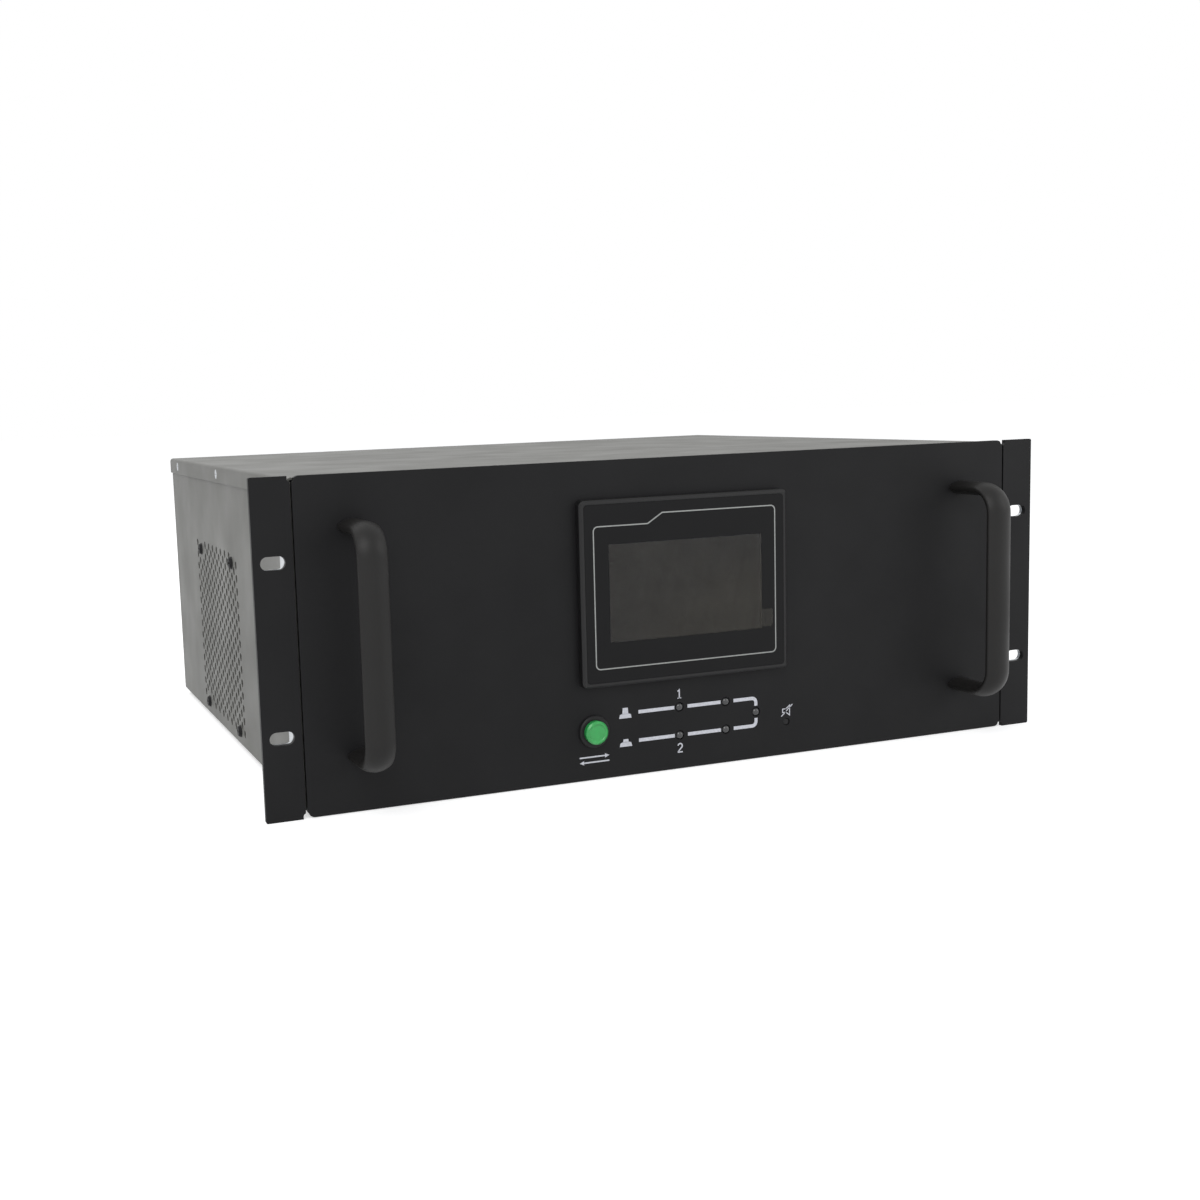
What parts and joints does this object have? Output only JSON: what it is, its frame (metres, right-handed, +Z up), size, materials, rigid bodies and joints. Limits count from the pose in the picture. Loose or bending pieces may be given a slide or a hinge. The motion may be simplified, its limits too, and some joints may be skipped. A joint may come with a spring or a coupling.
{
  "type": "rack static transfer switch",
  "caption": "Rack-mounted static transfer switch: black front with touch panel, push button and bow handles, grey ventilated case, breakers and terminals behind.",
  "frame": {"origin": "middle of the rack hole pattern, on the plane where the ears' brackets meet the rack rails", "axes": "+X to the right seen from the front, +Y towards the back, +Z up"},
  "size_m": [0.4826, 0.4565, 0.177],
  "materials": {
    "powder_black": "fine-textured black powder coat",
    "coated_grey": "satin grey powder coat",
    "zinc": "bright zinc plating",
    "black_steel": "blackened screws",
    "steel": "plain steel",
    "aluminium": "extruded, mill finish",
    "copper": "plain copper",
    "brass": "plain brass",
    "dark_plastic": "moulded, matt",
    "overlay_black": "printed film, satin",
    "window": "clear hard-coated window over a dark display",
    "film": "clear protective film",
    "circuit_board": "solder mask",
    "green_cap": "moulded, glossy",
    "lamp": "diffused epoxy, unlit",
    "pale_plastic": "moulded, matt",
    "blue_plastic": "moulded, matt",
    "green_plastic": "moulded, matt"
  },
  "bodies": {
    "chassis": {"chassis_tray": "coated_grey", "top_cover": "coated_grey", "cover_screws": "black_steel", "rear_panel": "coated_grey", "rear_panel_screws": "zinc", "front_panel": "powder_black", "panel_nuts": "zinc", "ear_left": "powder_black", "ear_right": "powder_black", "ear_bracket_left": "coated_grey", "ear_bracket_right": "coated_grey", "ear_rivets": "zinc", "handle_left": "powder_black", "handle_right": "powder_black", "handle_screws": "zinc", "touch_panel_bezel": "dark_plastic", "touch_panel_overlay": "overlay_black", "display_window": "window", "screen_film": "film", "display_module": "steel", "touch_panel_board": "circuit_board", "touch_panel_rear_cover": "dark_plastic", "touch_panel_clamps": "zinc", "transfer_button_collar": "dark_plastic", "transfer_button_nut": "zinc", "transfer_button_switch": "dark_plastic", "status_lamps": "lamp", "indicator_board": "circuit_board", "indicator_standoffs": "zinc", "fan_frame_left": "dark_plastic", "fan_frame_right": "dark_plastic", "fan_screws": "black_steel", "heatsink": "aluminium", "sink_screws": "zinc", "thyristor_modules": "dark_plastic", "module_screws": "steel", "busbars": "copper", "current_transformers": "blue_plastic", "control_board": "circuit_board", "board_standoffs": "zinc", "board_parts": "dark_plastic", "power_supply": "steel", "din_rail": "zinc", "rail_posts": "zinc", "breaker_source_1": "pale_plastic", "breaker_source_2": "pale_plastic", "breaker_output": "pale_plastic", "power_terminals": "dark_plastic", "terminal_screws": "steel", "terminal_cover": "coated_grey", "signal_terminal": "green_plastic", "network_port": "steel", "earth_stud": "brass"},
    "transfer_button": {"transfer_button_cap": "green_cap"},
    "mute_button": {"mute_button": "dark_plastic"},
    "fan_left": {"fan_impeller_left": "dark_plastic"},
    "fan_right": {"fan_impeller_right": "dark_plastic"},
    "toggle_source_1": {"toggle_source_1": "dark_plastic"},
    "toggle_source_2": {"toggle_source_2": "dark_plastic"},
    "toggle_output": {"toggle_output": "dark_plastic"}
  },
  "joints": [
    {"name": "transfer_button_press", "type": "slide", "parent": "chassis", "child": "transfer_button", "axis": [0, 1, 0], "range_m": [0, 0.003], "stiffness_N_per_m": 600, "springref_m": -0.002},
    {"name": "mute_button_press", "type": "slide", "parent": "chassis", "child": "mute_button", "axis": [0, 1, 0], "range_m": [0, 0.0008], "stiffness_N_per_m": 800, "springref_m": -0.0008},
    {"name": "fan_left_spin", "type": "hinge", "parent": "chassis", "child": "fan_left", "pos_m": [-0.2, 0.216, -0.0233], "axis": [1, 0, 0], "continuous": true},
    {"name": "fan_right_spin", "type": "hinge", "parent": "chassis", "child": "fan_right", "pos_m": [0.2, 0.216, -0.0233], "axis": [1, 0, 0], "continuous": true},
    {"name": "toggle_source_1_swing", "type": "hinge", "parent": "chassis", "child": "toggle_source_1", "pos_m": [-0.15015, 0.376, 0.024], "axis": [1, 0, 0], "range_deg": [-70, 0]},
    {"name": "toggle_source_2_swing", "type": "hinge", "parent": "chassis", "child": "toggle_source_2", "pos_m": [-0.09615, 0.376, 0.024], "axis": [1, 0, 0], "range_deg": [-70, 0]},
    {"name": "toggle_output_swing", "type": "hinge", "parent": "chassis", "child": "toggle_output", "pos_m": [-0.04215, 0.376, 0.024], "axis": [1, 0, 0], "range_deg": [-70, 0]}
  ]
}
